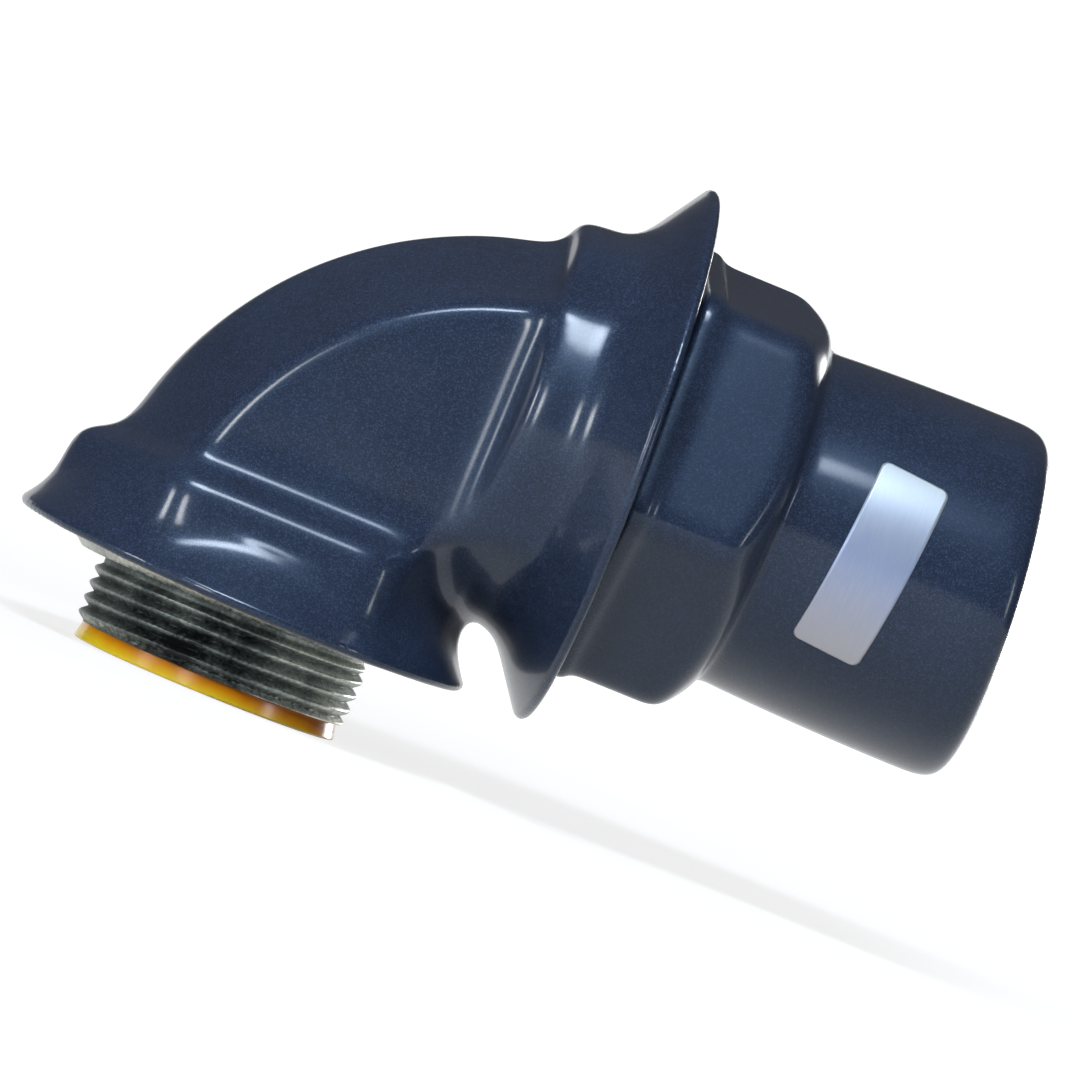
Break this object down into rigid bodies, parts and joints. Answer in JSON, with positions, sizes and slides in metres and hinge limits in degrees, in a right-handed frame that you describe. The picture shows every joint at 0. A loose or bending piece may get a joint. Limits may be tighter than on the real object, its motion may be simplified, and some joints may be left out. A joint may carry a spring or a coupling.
{
  "type": "liquidtight elbow connector",
  "caption": "Right-angle liquidtight conduit connector: plastic-coated elbow with male pipe thread, flared skirts, and a coated gland nut with a long sleeve.",
  "frame": {"origin": "on the hub thread's axis, in the plane of the flat seat that bears on the enclosure wall", "axes": "+Z along the hub axis, away from the enclosure; -Z the way the thread points; +X along the outlet axis, the way the conduit leaves; the elbow lies in the XZ plane"},
  "size_m": [0.1381, 0.081, 0.094],
  "materials": {
    "galvanised_iron": "zinc-galvanised malleable iron casting, cut thread",
    "pvc_coat": "glossy slate-blue PVC coat with a fine sparkle",
    "amber_nylon": "moulded amber nylon, smooth",
    "plated_steel": "zinc-plated pressed steel",
    "sealing_plastic": "moulded natural nylon",
    "foil": "satin silver foil, bare"
  },
  "bodies": {
    "fitting": {"elbow_casting": "galvanised_iron", "body_jacket": "pvc_coat", "insulated_throat": "amber_nylon", "grounding_ferrule": "plated_steel"},
    "seal": {"sealing_ring": "sealing_plastic"},
    "nut": {"gland_nut": "galvanised_iron", "nut_jacket": "pvc_coat", "foil_label": "foil"}
  },
  "joints": [
    {"name": "seal_slide", "type": "slide", "parent": "fitting", "child": "seal", "axis": [1, 0, 0], "range_m": [0, 0.009]},
    {"name": "nut_turn", "type": "hinge", "parent": "seal", "child": "nut", "pos_m": [0.05, 0, 0.041], "axis": [1, 0, 0], "range_deg": [0, 1620]}
  ],
  "couplings": [
    {"joint": "seal_slide", "follows": "nut_turn", "m_per_rad": 0.00031831}
  ]
}
